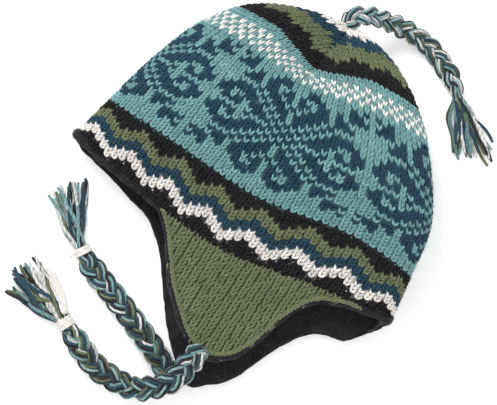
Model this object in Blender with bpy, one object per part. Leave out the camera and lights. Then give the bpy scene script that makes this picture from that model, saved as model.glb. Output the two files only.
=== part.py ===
"""A chullo: a lined knit cap with two ear flaps and three tasselled braids, lying on its side.

Metres, Z up, resting on the floor at Z = 0. X runs from the brow to the nape and Y from the mouth to the crown.
"""

import math

import bmesh
import bpy
import numpy as np
from mathutils import Vector

RIM_WIDTH = 0.2452
CROWN_RISE = 0.1595
PUFF_HEIGHT = 0.077
RIM_START = (-0.1226, -0.0281)

KNIT_WALL = 0.0035
FLEECE_WALL = 0.0025
PIECE_GAP = 0.00035
FLEECE_PEEK = 0.0028
FLOOR_BLEND = 0.003
FLAP_TOP_HEIGHT = 0.022
FLAP_DROP_LENGTH = 0.020
FAR_SETTLE_LENGTH = 0.030
FLAP_ROW = 0.0085
CROWN_LEVELS = (0, 0.05, 0.12, 0.2, 0.29, 0.38, 0.47, 0.56, 0.65, 0.73, 0.8, 0.86, 0.915, 0.96)
DART_TURN = 0.48
DART_WIDTH = 0.16
DART_VALLEY = 0.0022

BRAID_DIAMETER = 0.013
CROWN_BRAID_DIAMETER = 0.011
TIE_LENGTH = 0.0045
TIE_RADIUS = 0.0058
NECK_RADIUS = 0.0036

# The fold outline of the cap lying flat. Front and back are shares of RIM_WIDTH, heights are shares of PUFF_HEIGHT
# in percent, and blunt is how round the side folds are.
# level, front, back, side_height, near_height, far_height, blunt
RINGS = np.array([
    (0.000, 0.0, 100.0, 23.4, 42.9, 0.0, 0.80),
    (0.242, 3.3, 97.8, 33.8, 80.5, 0.0, 0.50),
    (0.455, 7.4, 94.3, 41.6, 100.0, 0.0, 0.25),
    (0.652, 13.7, 81.7, 45.5, 90.9, 0.0, 0.10),
    (0.758, 20.5, 74.6, 46.8, 80.5, 0.0, 0.00),
    (0.848, 28.7, 66.9, 48.1, 67.5, 7.8, 0.00),
    (0.924, 38.3, 57.9, 48.1, 57.1, 26.0, 0.00),
    (1.000, 47.8, 47.8, 46.8, 46.8, 46.8, 0.00),
])

# How far up the cap each knitted level lies, in percent of CROWN_RISE, at seven shares of the way from front to back.
STATIONS = (0, 0.05, 0.2, 0.5, 0.8, 0.95, 1)
NEAR_LEVELS = np.array([
    (0.000, 0.0, -1.7, -5.0, -7.6, 0.8, 2.9, 3.4),
    (0.242, 21.0, 20.6, 20.2, 18.5, 26.5, 26.1, 25.2),
    (0.455, 45.4, 45.4, 45.0, 44.5, 48.3, 49.6, 49.6),
    (0.652, 69.3, 69.7, 70.6, 69.7, 75.2, 76.1, 76.1),
    (0.758, 82.8, 83.2, 83.6, 82.8, 85.7, 86.1, 85.7),
    (0.848, 91.2, 91.2, 91.2, 89.9, 92.9, 93.3, 93.3),
    (0.924, 96.6, 96.2, 96.2, 95.8, 97.9, 98.3, 98.3),
    (1.000, 100.0, 100.0, 100.0, 100.0, 100.0, 100.0, 100.0),
])
FAR_LEVELS = np.array([
    (0.000, 0.0, -2.5, -7.1, -12.6, -14.3, -7.1, 3.4),
    (0.242, 21.0, 18.1, 14.3, 9.2, 11.8, 18.5, 25.2),
    (0.455, 45.4, 43.7, 40.3, 35.7, 38.7, 44.5, 49.6),
    (0.652, 69.3, 68.1, 65.5, 63.0, 68.1, 73.1, 76.1),
    (0.758, 82.8, 82.4, 81.1, 79.8, 82.8, 84.9, 85.7),
    (0.848, 91.2, 90.8, 89.9, 89.1, 91.2, 92.4, 93.3),
    (0.924, 96.6, 96.2, 95.8, 95.4, 97.1, 97.9, 98.3),
    (1.000, 100.0, 100.0, 100.0, 100.0, 100.0, 100.0, 100.0),
])
# How deep the two middle darts pull the knitting down, in percent of CROWN_RISE.
# level, dip
DARTS = np.array([(0.0, 0.0), (0.58, 0.0), (0.652, 1.2), (0.758, 5.9), (0.848, 3.6), (0.924, 1.4), (1.0, 0.0)])

# The edges of the two flaps: across in percent of RIM_WIDTH, up in percent of CROWN_RISE.
NEAR_FLAP = np.array([
    (30.9, -6.7), (35.5, -14.3), (39.1, -21.4), (43.7, -30.7), (49.7, -39.5), (54.4, -45.4), (57.1, -47.5),
    (60.7, -49.2), (64.5, -47.5), (67.5, -44.1), (70.2, -37.4), (72.1, -29.0), (73.5, -21.4), (75.4, -14.7),
    (76.8, -10.5), (79.2, -5.9), (82.5, -2.9), (87.7, 0.0), (91.3, 2.1),
])
FAR_FLAP = np.array([
    (21.9, -8.4), (27.9, -10.9), (34.2, -16.8), (39.1, -24.8), (45.1, -37.4), (50.0, -46.6), (55.5, -54.6),
    (58.7, -58.8), (62.8, -62.2), (65.8, -58.4), (68.9, -54.6), (72.1, -47.5), (74.0, -39.9), (76.5, -31.1),
    (79.2, -23.5), (82.5, -17.2), (85.8, -13.0), (91.5, -9.2),
])
NEAR_SIDE_COLUMNS = (0, 0.4, 1.6, 4, 7.5, 12.5, 18.5, 25, 94.6, 97.3, 99.2)
FAR_SIDE_COLUMNS = (100, 99.6, 98.4, 96.2, 16.5, 11, 6.5, 3, 0.9)

# Braid middles, in millimetres from the crown's apex or from the tip of the braid's flap: across, up, height.
CROWN_PATH = (
    (-2.2, 3.8, 36), (1, 7.8, 32), (6.9, 12.6, 24), (14.4, 16, 15), (22.4, 17.5, 8.6), (31.6, 18.6, 6.1),
    (41.4, 18.5, 5.6), (50.9, 16.8, 5.6), (59.6, 14.4, 5.6), (68.1, 10.9, 5.6), (75.7, 6.9, 5.6),
    (81.6, 3, 5.6), (84.6, 0, 5.6),
)
NEAR_PATH = (
    (-2.6, -8.7, 20.3), (-3.3, -13.9, 21), (-4.5, -20.9, 21.2), (-6.4, -26, 20.6), (-9.8, -31, 19),
    (-15, -36.4, 16.4), (-20.9, -41.3, 13), (-27, -44.4, 9.6), (-34.2, -45.8, 7.3), (-42.2, -46.1, 6.6),
    (-50.2, -45.9, 6.7), (-57.2, -44.4, 6.7), (-63.6, -42.2, 6.7), (-69.8, -39.6, 6.7), (-76.4, -36.6, 6.7),
    (-81.2, -34.5, 6.7), (-84.2, -33.1, 6.7),
)
FAR_PATH = (
    (-9.1, -6.8, 6.7), (-15.4, -3.3, 6.7), (-22.7, 0.9, 6.7), (-30.1, 4.6, 6.7), (-39.2, 8.6, 6.7),
    (-47.6, 11.8, 6.7), (-56.2, 15.2, 6.7), (-64.7, 18.5, 6.7), (-73.2, 21.7, 6.7), (-81.6, 24.6, 6.7),
    (-89.7, 27.5, 6.7), (-97.4, 30.4, 6.7), (-103.4, 33.5, 6.7), (-106, 35, 6.7),
)
# The ends of the tassels' locks, in millimetres from the same points: across, up, height.
CROWN_TIPS = (
    (102, -33, 2.2), (108, -34.4, 2.6), (111.8, -30.8, 4.4), (116, -29.6, 2.4), (119.6, -25.6, 4.6),
    (126, -24.6, 2.3), (122, -18.8, 2.6),
)
NEAR_TIPS = (
    (-126.6, -32, 2.4), (-131, -32.3, 2.2), (-132, -24.4, 4.6), (-133.8, -18.4, 2.4), (-131.8, -12, 4.6),
    (-129.8, -5, 2.3), (-123.2, -10.4, 5.2),
)
FAR_TIPS = (
    (-139, 50.3, 2.3), (-146.2, 56.7, 2.5), (-144, 62.7, 4.6), (-141.8, 66.3, 2.4), (-136.8, 71.3, 4.6),
    (-133, 75.7, 2.3), (-130, 75.9, 4.8),
)

# name, red, green, blue, roughness
COLOURS = {
    "teal_knit": (0.15, 0.45, 0.40, 0.95),
    "olive_knit": (0.15, 0.22, 0.07, 0.95),
    "black_fleece": (0.012, 0.011, 0.014, 0.98),
    "mixed_yarn": (0.10, 0.22, 0.22, 0.95),
    "white_yarn": (0.80, 0.78, 0.74, 0.95),
}


def cubic(at, knots, values):
    """A smooth curve through uneven knots, its slope at each knot the mean of the slopes on both sides."""
    knots = np.asarray(knots, float)
    values = np.asarray(values, float)
    steps = np.diff(knots)
    rises = np.diff(values, axis=0) / steps.reshape((-1,) + (1,) * (values.ndim - 1))
    slopes = np.concatenate([rises[:1], 0.5 * (rises[:-1] + rises[1:]), rises[-1:]])
    at = np.clip(np.asarray(at, float), knots[0], knots[-1])
    cell = np.clip(np.searchsorted(knots, at, side="right") - 1, 0, len(steps) - 1)
    width = steps[cell]
    t = (at - knots[cell]) / width
    shape = t.shape + (1,) * (values.ndim - 1)
    t = t.reshape(shape)
    width = width.reshape(shape)
    return (
        (2 * t**3 - 3 * t**2 + 1) * values[cell]
        + (t**3 - 2 * t**2 + t) * width * slopes[cell]
        + (3 * t**2 - 2 * t**3) * values[cell + 1]
        + (t**3 - t**2) * width * slopes[cell + 1]
    )


def across_share(angle, blunt):
    """How far from front to back the ring has come at this angle, 0 to 1. A blunt ring turns late, in a rounder fold."""
    c = np.cos(angle)
    return 0.5 * (1 - (1 - blunt) * c - blunt * np.sin(0.5 * math.pi * c))


def soft_floor(height):
    """The height with what falls under the floor laid on it, and a short round bend where it lands."""
    bend = (height + FLOOR_BLEND) ** 2 / (4 * FLOOR_BLEND)
    return np.where(height > FLOOR_BLEND, height, np.where(height > -FLOOR_BLEND, bend, 0.0))


def surface(angle, level):
    """A point on the outside of the cap. Angle runs round it: 0 is the front fold, half a turn the back fold and the
    near side between them lies on top. Level is 0 at the rim and 1 at the apex, and under 0 it runs down a flap, in
    shares of RIM_WIDTH."""
    angle, level = np.broadcast_arrays(np.asarray(angle, float), np.asarray(level, float))
    up_level = np.clip(level, 0, 1)
    below = np.clip(-level, 0, None) * RIM_WIDTH
    ring = cubic(up_level, RINGS[:, 0], RINGS[:, 1:])
    front, back, side, near_top, far_low, blunt = np.moveaxis(ring, -1, 0)
    across = across_share(angle, blunt)
    sine = np.sin(angle)
    near = sine >= 0
    bulge = np.abs(sine)
    near_lines = cubic(up_level, NEAR_LEVELS[:, 0], NEAR_LEVELS[:, 1:])
    far_lines = cubic(up_level, FAR_LEVELS[:, 0], FAR_LEVELS[:, 1:])
    lines = np.where(near[..., None], near_lines, far_lines)
    flat_lines = lines.reshape(-1, len(STATIONS))
    flat_across = across.reshape(-1)
    up = np.array([cubic(a, STATIONS, row) for a, row in zip(flat_across, flat_lines)]).reshape(across.shape)
    turn = np.arccos(np.clip(np.cos(angle), -1, 1)) / math.pi
    dart = np.clip(1 - np.abs(turn - DART_TURN) / DART_WIDTH, 0, None)
    up = up - cubic(up_level, DARTS[:, 0], DARTS[:, 1]) * dart
    x = RIM_START[0] + RIM_WIDTH * (front + across * (back - front)) / 100
    y = RIM_START[1] + CROWN_RISE * up / 100 - below
    side, near_top, far_low = (PUFF_HEIGHT * np.clip(v, 0, None) / 100 for v in (side, near_top, far_low))
    valley = DART_VALLEY * cubic(up_level, (0, 0.6, 0.76, 0.9, 1), (0, 0, 1, 1, 0)) * dart**3
    top = side + (near_top - side) * bulge**0.92 - valley
    top = top - np.clip(top - FLAP_TOP_HEIGHT, 0, None) * (1 - np.exp(-below / FLAP_DROP_LENGTH))
    low = far_low + soft_floor(side - far_low - 1.45 * (side - far_low) * bulge)
    low = low * (1 - bulge * (1 - np.exp(-below / FAR_SETTLE_LENGTH)))
    return np.stack([x, y, np.where(near, top, low)], axis=-1)


def outward(angle, level):
    """The direction out of the cap's surface at a point."""
    step = 0.004
    around = surface(angle + step, level) - surface(angle - step, level)
    rise = surface(angle, np.minimum(level + step, 0.999)) - surface(angle, level - step)
    normal = np.cross(around, rise)
    return normal / np.linalg.norm(normal, axis=-1, keepdims=True)


def columns():
    """The angles of the mesh's columns round the cap, with the flap depth of each in metres and which flap it is on."""
    grid = np.linspace(0, math.pi, 4001)
    across = 100 * across_share(grid, RINGS[0, 6])
    found = []
    for side, edge, plain in (("near", NEAR_FLAP, NEAR_SIDE_COLUMNS), ("far", FAR_FLAP, FAR_SIDE_COLUMNS)):
        for share in plain:
            angle = float(np.interp(share, across, grid))
            found.append((2 * math.pi - angle if side == "far" else angle, 0.0, ""))
        for share, up in edge:
            angle = float(np.interp(share, across, grid))
            angle = 2 * math.pi - angle if side == "far" else angle
            rim = surface(angle, 0.0)[1]
            edge_y = RIM_START[1] + CROWN_RISE * up / 100
            found.append((angle, max(float(rim - edge_y), 0.0016), side))
    return sorted(found)


def steps_down(depth):
    """The heights of a column's rows below the rim, from the rim to the flap's edge, in metres."""
    if depth <= 0:
        return [0.0]
    count = int((depth - 0.003) // FLAP_ROW) if depth > 0.003 else 0
    return [0.0] + [FLAP_ROW * (k + 1) for k in range(count)] + [depth]


def zipped(first, second):
    """The triangles between two neighbouring columns of unequal row counts, as pairs of row indexes."""
    i = j = 0
    found = []
    while i < len(first) - 1 or j < len(second) - 1:
        if j == len(second) - 1 or (i < len(first) - 1 and first[i + 1] <= second[j + 1]):
            found.append(((0, i), (1, j), (0, i + 1)))
            i += 1
        else:
            found.append(((0, i), (1, j), (1, j + 1)))
            j += 1
    return found


def edge_ways(cols):
    """For each column, the way in plan that its lower edge faces."""
    points = surface(np.array([c[0] for c in cols]), -np.array([c[1] for c in cols]) / RIM_WIDTH)
    ways = []
    for k, (_, depth, side) in enumerate(cols):
        if not side:
            ways.append((0.0, -1.0))
            continue
        run = points[(k + 1) % len(cols)][:2] - points[k - 1][:2]
        way = np.array((run[1], -run[0])) if side == "near" else np.array((-run[1], run[0]))
        way = way / np.linalg.norm(way)
        ways.append((float(way[0]), float(way[1])))
    return ways


def faced_out(shape):
    """Turns the faces of a closed mesh to point outwards, however thin and folded its wall is."""
    bmesh.ops.recalc_face_normals(shape, faces=shape.faces)
    if shape.calc_volume(signed=True) < 0:
        bmesh.ops.reverse_faces(shape, faces=shape.faces)


def solid(name, points, faces, colour):
    """A node from points and faces, with its own material."""
    mesh = bpy.data.meshes.new(name)
    mesh.from_pydata([tuple(map(float, p)) for p in points], [], faces)
    shape = bmesh.new()
    shape.from_mesh(mesh)
    faced_out(shape)
    shape.to_mesh(mesh)
    shape.free()
    node = bpy.data.objects.new(name, mesh)
    bpy.context.scene.collection.objects.link(node)
    return painted(node, colour)


def painted(node, colour):
    """Gives a node its own plain material."""
    red, green, blue, rough = COLOURS[colour]
    material = bpy.data.materials.new(node.name + "_" + colour)
    material.use_nodes = True
    shader = material.node_tree.nodes["Principled BSDF"]
    shader.inputs["Base Color"].default_value = (red, green, blue, 1)
    shader.inputs["Roughness"].default_value = rough
    node.data.materials.append(material)
    return node


def shell(name, cols, outer, inner, rows_up, rows_down, peek, colour, start=0.0):
    """A curved wall between two depths under the surface. Each column runs from its lower edge to the top row."""
    closed = rows_up is not None
    all_ways = dict(zip([c[0] for c in ALL_COLUMNS], edge_ways(ALL_COLUMNS)))
    points = []
    faces = []
    index = {}

    def add(key, at, normal, depth):
        index[key] = len(points)
        points.append(at - depth * normal)

    lists = []
    for k, (angle, depth, side) in enumerate(cols):
        below = steps_down(depth) if rows_down else [0.0]
        lists.append(below)
        for r, down in enumerate(below):
            real = max(down, start)
            at = surface(angle, -real / RIM_WIDTH)
            normal = outward(angle, -real / RIM_WIDTH)
            add((k, "d", r, 0), at, normal, outer)
            add((k, "d", r, 1), at, normal, inner)
        if peek:
            way = all_ways[angle]
            at = at + peek * np.array((way[0], way[1], 0.0))
            add((k, "p", 0, 0), at, normal, outer)
            add((k, "p", 0, 1), at, normal, inner)
        if closed:
            for r, level in enumerate(rows_up[1:]):
                at = surface(angle, level)
                normal = outward(angle, level)
                add((k, "u", r + 1, 0), at, normal, outer)
                add((k, "u", r + 1, 1), at, normal, inner)
    if closed:
        apex = surface(0.0, 1.0)
        for layer, depth in ((0, outer), (1, inner)):
            add(("apex", layer), apex, np.array((0.0, 1.0, 0.0)), depth)

    def up(k, r, layer):
        return index[(k, "d", 0, layer)] if r == 0 else index[(k, "u", r, layer)]

    count = len(cols)
    for k in range(count if closed else count - 1):
        n = (k + 1) % count
        for layer in (0, 1):
            if closed:
                for r in range(len(rows_up) - 1):
                    a, b, c, d = up(k, r, layer), up(n, r, layer), up(n, r + 1, layer), up(k, r + 1, layer)
                    faces += [(a, b, c), (a, c, d)]
                last = len(rows_up) - 1
                faces.append((up(k, last, layer), up(n, last, layer), index[("apex", layer)]))
            for triple in zipped(lists[k], lists[n]):
                faces.append(tuple(index[((k, n)[which], "d", row, layer)] for which, row in triple))
            if peek:
                a = index[(k, "d", len(lists[k]) - 1, layer)]
                b = index[(n, "d", len(lists[n]) - 1, layer)]
                faces += [(a, index[(k, "p", 0, layer)], index[(n, "p", 0, layer)])]
                faces += [(a, index[(n, "p", 0, layer)], b)]
        key = "p" if peek else "d"
        i = 0 if peek else len(lists[k]) - 1
        j = 0 if peek else len(lists[n]) - 1
        faces.append((index[(k, key, i, 0)], index[(n, key, j, 0)], index[(n, key, j, 1)]))
        faces.append((index[(k, key, i, 0)], index[(n, key, j, 1)], index[(k, key, i, 1)]))
        if not closed:
            faces.append((index[(k, "d", 0, 0)], index[(n, "d", 0, 0)], index[(n, "d", 0, 1)]))
            faces.append((index[(k, "d", 0, 0)], index[(n, "d", 0, 1)], index[(k, "d", 0, 1)]))
    if not closed:
        for k in (0, count - 1):
            for r in range(len(lists[k]) - 1):
                a, b = index[(k, "d", r, 0)], index[(k, "d", r + 1, 0)]
                c, d = index[(k, "d", r + 1, 1)], index[(k, "d", r, 1)]
                faces += [(a, b, c), (a, c, d)]
    return solid(name, points, faces, colour)


def on_cap(across, up):
    """A point in plan, from its percents of RIM_WIDTH and CROWN_RISE."""
    return np.array((RIM_START[0] + RIM_WIDTH * across / 100, RIM_START[1] + CROWN_RISE * up / 100, 0.0))


def flap_tip(edge):
    """The lowest point of a flap's edge, in plan."""
    return on_cap(*edge[np.argmin(edge[:, 1])])


def smooth_path(points, spacing, anchor):
    """Evenly spaced points on a smooth curve through a table of millimetres from an anchor point."""
    points = anchor + np.array(points, float) / 1000
    run = np.concatenate([[0], np.cumsum(np.linalg.norm(np.diff(points, axis=0), axis=1))])
    fine = cubic(np.linspace(0, run[-1], 400), run, points)
    run = np.concatenate([[0], np.cumsum(np.linalg.norm(np.diff(fine, axis=0), axis=1))])
    even = np.linspace(0, run[-1], max(2, int(round(run[-1] / spacing)) + 1))
    return np.stack([np.interp(even, run, fine[:, axis]) for axis in range(3)], axis=1)


def braid(name, table, diameter, anchor):
    """A braid as a round tube with capped ends."""
    path = smooth_path(table, 0.0062, anchor)
    curve = bpy.data.curves.new(name, "CURVE")
    curve.dimensions = "3D"
    curve.bevel_depth = diameter / 2
    curve.bevel_resolution = 2
    curve.use_fill_caps = True
    spline = curve.splines.new("POLY")
    spline.points.add(len(path) - 1)
    for knot, at in zip(spline.points, path):
        knot.co = (*map(float, at), 1)
    node = bpy.data.objects.new(name, curve)
    bpy.context.scene.collection.objects.link(node)
    return painted(node, "mixed_yarn"), path


def end_frame(path):
    """The last point of a braid and the way it points there."""
    end = Vector(path[-1])
    return end, (end - Vector(path[-3])).normalized()


def ring_about(at, way, profile, sides=14):
    """Points and faces of a closed ring: the profile's (along, radius) pairs turned about a line."""
    side = way.orthogonal().normalized()
    other = way.cross(side)
    points = []
    faces = []
    for k in range(sides):
        turn = 2 * math.pi * k / sides
        out = side * math.cos(turn) + other * math.sin(turn)
        points += [at + way * along + out * radius for along, radius in profile]
    size = len(profile)
    for k in range(sides):
        n = (k + 1) % sides
        for i in range(size):
            j = (i + 1) % size
            faces.append((k * size + i, n * size + i, n * size + j, k * size + j))
    return points, faces


def tube(points, radii, sides):
    """Points and faces of a closed tube with its own radius at each point, the ends flat."""
    rings = []
    for k, at in enumerate(points):
        way = (points[min(k + 1, len(points) - 1)] - points[max(k - 1, 0)]).normalized()
        side = way.cross(Vector((0, 0, 1))).normalized()
        other = side.cross(way)
        turns = [2 * math.pi * s / sides for s in range(sides)]
        rings.append([at + radii[k] * (side * math.cos(t) + other * math.sin(t)) for t in turns])
    flat = [p for ring in rings for p in ring]
    faces = [tuple(range(sides))[::-1], tuple(range((len(rings) - 1) * sides, len(rings) * sides))]
    for k in range(len(rings) - 1):
        for s in range(sides):
            t = (s + 1) % sides
            faces.append((k * sides + s, k * sides + t, (k + 1) * sides + t, (k + 1) * sides + s))
    return flat, faces


def helper(name, points, faces):
    """A shape that only takes part in a union, hidden from the render."""
    mesh = bpy.data.meshes.new(name)
    mesh.from_pydata([tuple(p) for p in points], [], faces)
    shape = bmesh.new()
    shape.from_mesh(mesh)
    faced_out(shape)
    shape.to_mesh(mesh)
    shape.free()
    node = bpy.data.objects.new(name, mesh)
    bpy.context.scene.collection.objects.link(node)
    node.hide_render = True
    node.display_type = "WIRE"
    return node


def tassel(name, start, way, tips, anchor, neck_length, head_radius):
    """A tassel: a neck and a head, with one tapered lock from the head to each tip."""
    neck_end = start + way * neck_length
    head_end = neck_end + way * head_radius * 2.2
    spine = [start, neck_end - way * 0.0006, neck_end + way * head_radius * 0.5, neck_end + way * head_radius * 1.5, head_end]
    radii = [NECK_RADIUS, NECK_RADIUS, head_radius * 0.86, head_radius, head_radius * 0.7]
    floor_room = [min(r, p.z - 0.0002) for r, p in zip(radii, spine)]
    head = helper(name, *tube(spine, floor_room, 12))
    head.hide_render = False
    head.display_type = "TEXTURED"
    side = way.cross(Vector((0, 0, 1))).normalized()
    root = neck_end + way * head_radius * 0.9
    for k, tip in enumerate(tips):
        tip = Vector(anchor) + Vector(tip) / 1000
        lean = (tip - root).normalized().dot(side)
        begin = root + side * lean * head_radius * 0.9
        begin.z = max(0.0032, begin.z + (-0.0016 if k % 2 == 0 else 0.0012))
        middle = begin.lerp(tip, 0.5) + way * 0.003 + Vector((0, 0, 0.0006))
        points = [begin, begin.lerp(middle, 0.55), middle, middle.lerp(tip, 0.55), tip]
        sizes = [0.0026, 0.0029, 0.0028, 0.0024, 0.0018]
        sizes = [min(r, p.z - 0.0002) for r, p in zip(sizes, points)]
        lock = helper(name + "_lock_" + str(k + 1), *tube(points, sizes, 7))
        join = head.modifiers.new("lock_" + str(k + 1), "BOOLEAN")
        join.operation = "UNION"
        join.solver = "EXACT"
        join.object = lock
    return painted(head, "mixed_yarn")


for leftover in list(bpy.data.objects):
    bpy.data.objects.remove(leftover)

ALL_COLUMNS = columns()
near_columns = [c for c in ALL_COLUMNS if c[2] == "near"]
far_columns = [c for c in ALL_COLUMNS if c[2] == "far"]

shell("crown_knit", ALL_COLUMNS, 0.0, KNIT_WALL, CROWN_LEVELS, False, 0.0, "teal_knit")
shell("near_ear_flap", near_columns, 0.0, KNIT_WALL, None, True, 0.0, "olive_knit", PIECE_GAP)
shell("far_ear_flap", far_columns, 0.0, KNIT_WALL, None, True, 0.0, "olive_knit", PIECE_GAP)
lining_top = KNIT_WALL + PIECE_GAP
shell("fleece_lining", ALL_COLUMNS, lining_top, lining_top + FLEECE_WALL, CROWN_LEVELS, True, FLEECE_PEEK, "black_fleece")

apex = on_cap(RINGS[-1, 1], 100)
near_tip, far_tip = flap_tip(NEAR_FLAP), flap_tip(FAR_FLAP)
_, crown_path = braid("crown_braid", CROWN_PATH, CROWN_BRAID_DIAMETER, apex)
_, near_path = braid("near_flap_braid", NEAR_PATH, BRAID_DIAMETER, near_tip)
_, far_path = braid("far_flap_braid", FAR_PATH, BRAID_DIAMETER, far_tip)

for label, path, tips, tip in (
    ("near_flap", near_path, NEAR_TIPS, near_tip),
    ("far_flap", far_path, FAR_TIPS, far_tip),
):
    end, way = end_frame(path)
    band = end + way * (PIECE_GAP + TIE_LENGTH / 2)
    half = TIE_LENGTH / 2
    hole = NECK_RADIUS + PIECE_GAP
    profile = [(-half, hole), (-half, TIE_RADIUS * 0.86), (-half * 0.6, TIE_RADIUS), (half * 0.6, TIE_RADIUS),
               (half, TIE_RADIUS * 0.86), (half, hole)]
    solid(label + "_tie", *ring_about(band, way, profile), "white_yarn")
    tassel(label + "_tassel", end + way * PIECE_GAP, way, tips, tip, TIE_LENGTH + 2 * PIECE_GAP, 0.0058)

end, way = end_frame(crown_path)
tassel("crown_tassel", end + way * PIECE_GAP, way, CROWN_TIPS, apex, 0.002, 0.0053)
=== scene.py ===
"""A chullo lying on its side on a pale table: a cap of stranded knitting with a fleece lining, two ear flaps and
three tasselled braids. Metres, Z up, the table at Z = 0, the brow towards -X and the crown towards +Y."""

import math
from itertools import product

import bmesh
import bpy
import numpy as np
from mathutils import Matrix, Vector, noise


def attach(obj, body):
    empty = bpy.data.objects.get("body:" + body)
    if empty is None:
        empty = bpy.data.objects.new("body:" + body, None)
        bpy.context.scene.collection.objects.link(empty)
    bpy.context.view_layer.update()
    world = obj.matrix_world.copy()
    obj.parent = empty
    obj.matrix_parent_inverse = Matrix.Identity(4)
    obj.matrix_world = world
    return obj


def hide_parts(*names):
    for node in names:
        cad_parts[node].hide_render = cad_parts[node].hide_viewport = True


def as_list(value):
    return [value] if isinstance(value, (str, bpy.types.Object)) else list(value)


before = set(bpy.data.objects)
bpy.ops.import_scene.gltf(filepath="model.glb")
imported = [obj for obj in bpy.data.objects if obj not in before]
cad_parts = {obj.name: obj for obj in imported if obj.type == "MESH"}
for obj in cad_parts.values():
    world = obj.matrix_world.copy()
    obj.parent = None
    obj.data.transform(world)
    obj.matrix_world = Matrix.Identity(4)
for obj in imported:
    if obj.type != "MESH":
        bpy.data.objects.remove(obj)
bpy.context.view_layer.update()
dice = np.random.default_rng(41)

MM = 0.001

# The camera looks straight down. VIEW_WIDTH is what it sees across, at the table.

VIEW_WIDTH = 0.3335
CAMERA_HEIGHT = 2.2
CAMERA_TURN = math.atan2(0.5325, 0.8465)
SENSOR = 36

bpy.ops.object.select_all(action="DESELECT")
bpy.ops.object.camera_add(location=(-0.0001, -0.0045, CAMERA_HEIGHT), rotation=(0, 0, CAMERA_TURN))
camera = bpy.context.object
camera.name = "straight_down_camera"
camera.data.sensor_width = SENSOR
camera.data.lens = SENSOR * CAMERA_HEIGHT / VIEW_WIDTH
bpy.context.scene.camera = camera

# The cap, as in the part. Its tables are in hundredths: of the rim's width across, of the crown's rise upwards, and
# of the puff's height.

RIM_WIDTH = 0.2452
CROWN_RISE = 0.1595
PUFF_HEIGHT = 0.077
RIM_START = (-0.1226, -0.0281)
FLOOR_BLEND = 0.003
FLAP_TOP_HEIGHT = 0.022
FLAP_DROP_LENGTH = 0.020
FAR_SETTLE_LENGTH = 0.030
DART_TURN = 0.48
DART_WIDTH = 0.16
DART_VALLEY = 0.0022
FULL = 2 * math.pi

# Level, front fold, back fold, the heights of the folds, upper side and lower side, and how blunt the folds are.
RINGS = np.array([
    (0, 0, 100, 23.4, 42.9, 0, 0.8),
    (0.242, 3.3, 97.8, 33.8, 80.5, 0, 0.5),
    (0.455, 7.4, 94.3, 41.6, 100, 0, 0.25),
    (0.652, 13.7, 81.7, 45.5, 90.9, 0, 0.1),
    (0.758, 20.5, 74.6, 46.8, 80.5, 0, 0),
    (0.848, 28.7, 66.9, 48.1, 67.5, 7.8, 0),
    (0.924, 38.3, 57.9, 48.1, 57.1, 26, 0),
    (1, 47.8, 47.8, 46.8, 46.8, 46.8, 0),
])
# How far up each level lies at these shares of the way across, on the upper side and then the lower one.
STATIONS = (0, 0.05, 0.2, 0.5, 0.8, 0.95, 1)
NEAR_LEVELS = np.array([
    (0, 0, -1.7, -5, -7.6, 0.8, 2.9, 3.4),
    (0.242, 21, 20.6, 20.2, 18.5, 26.5, 26.1, 25.2),
    (0.455, 45.4, 45.4, 45, 44.5, 48.3, 49.6, 49.6),
    (0.652, 69.3, 69.7, 70.6, 69.7, 75.2, 76.1, 76.1),
    (0.758, 82.8, 83.2, 83.6, 82.8, 85.7, 86.1, 85.7),
    (0.848, 91.2, 91.2, 91.2, 89.9, 92.9, 93.3, 93.3),
    (0.924, 96.6, 96.2, 96.2, 95.8, 97.9, 98.3, 98.3),
    (1, 100, 100, 100, 100, 100, 100, 100),
])
FAR_LEVELS = np.array([
    (0, 0, -2.5, -7.1, -12.6, -14.3, -7.1, 3.4),
    (0.242, 21, 18.1, 14.3, 9.2, 11.8, 18.5, 25.2),
    (0.455, 45.4, 43.7, 40.3, 35.7, 38.7, 44.5, 49.6),
    (0.652, 69.3, 68.1, 65.5, 63, 68.1, 73.1, 76.1),
    (0.758, 82.8, 82.4, 81.1, 79.8, 82.8, 84.9, 85.7),
    (0.848, 91.2, 90.8, 89.9, 89.1, 91.2, 92.4, 93.3),
    (0.924, 96.6, 96.2, 95.8, 95.4, 97.1, 97.9, 98.3),
    (1, 100, 100, 100, 100, 100, 100, 100),
])
# Level, and how far the dart pulls it down.
DARTS = np.array([(0, 0), (0.58, 0), (0.652, 1.2), (0.758, 5.9), (0.848, 3.6), (0.924, 1.4), (1, 0)])
# The flaps' edges, across and up.
NEAR_FLAP = np.array([
    (30.9, -6.7), (35.5, -14.3), (39.1, -21.4), (43.7, -30.7), (49.7, -39.5), (54.4, -45.4), (57.1, -47.5),
    (60.7, -49.2), (64.5, -47.5), (67.5, -44.1), (70.2, -37.4), (72.1, -29), (73.5, -21.4), (75.4, -14.7),
    (76.8, -10.5), (79.2, -5.9), (82.5, -2.9), (87.7, 0), (91.3, 2.1),
])
FAR_FLAP = np.array([
    (21.9, -8.4), (27.9, -10.9), (34.2, -16.8), (39.1, -24.8), (45.1, -37.4), (50, -46.6), (55.5, -54.6),
    (58.7, -58.8), (62.8, -62.2), (65.8, -58.4), (68.9, -54.6), (72.1, -47.5), (74, -39.9), (76.5, -31.1),
    (79.2, -23.5), (82.5, -17.2), (85.8, -13), (91.5, -9.2),
])
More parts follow.
